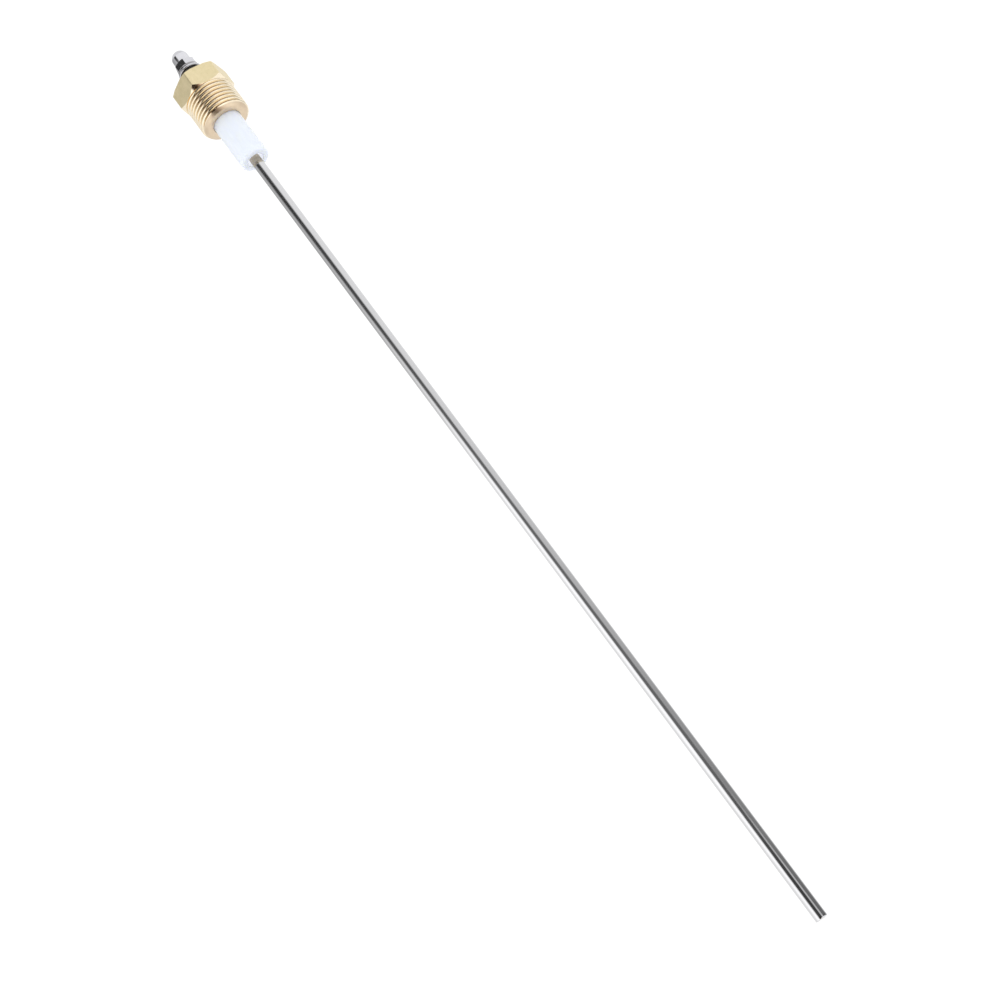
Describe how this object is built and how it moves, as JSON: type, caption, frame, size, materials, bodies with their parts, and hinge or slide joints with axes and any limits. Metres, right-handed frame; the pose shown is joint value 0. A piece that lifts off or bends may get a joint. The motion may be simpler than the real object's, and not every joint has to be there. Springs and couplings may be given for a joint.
{
  "type": "ignition electrode",
  "caption": "Straight ignition electrode: polished steel rod in a white ceramic sleeve, held in a brass hexagon screw plug with pipe thread and a threaded cable terminal under a domed nut.",
  "frame": {"origin": "centre of the hexagon's underside, where the pipe thread starts", "axes": "+Z along the electrode's axis towards the cable terminal, so the rod points to -Z; +X through a corner of the plug's hexagon"},
  "size_m": [0.0242, 0.021, 0.4192],
  "materials": {
    "brass": "machined, lightly tarnished",
    "ceramic": "smooth white technical ceramic",
    "rod_steel": "polished stainless rod",
    "nickel": "bright nickel plate",
    "dark_steel": "blackened",
    "gasket": "compressed fibre",
    "packing": "graphite"
  },
  "bodies": {
    "electrode": {"plug_body": "brass", "inner_gasket": "gasket", "packing_ring": "packing", "lower_insulator": "ceramic", "flange_gasket": "gasket", "upper_insulator": "ceramic", "electrode_rod": "rod_steel", "rod_collar": "rod_steel", "collar_cushion": "gasket", "mouth_cement": "ceramic", "clamp_washer": "dark_steel", "clamp_nut": "dark_steel"},
    "terminal_washers": {"terminal_washer": "nickel", "spring_washer": "nickel"},
    "domed_nut": {"acorn_nut": "nickel"}
  },
  "joints": [
    {"name": "terminal_lift", "type": "slide", "parent": "electrode", "child": "terminal_washers", "axis": [0, 0, 1], "range_m": [0, 0.0056]},
    {"name": "domed_nut_turn", "type": "hinge", "parent": "terminal_washers", "child": "domed_nut", "pos_m": [0, 0, 0.0172], "axis": [0, 0, 1], "range_deg": [0, 2520]}
  ],
  "couplings": [
    {"joint": "domed_nut_turn", "follows": "terminal_lift", "rad_per_m": 7854}
  ]
}
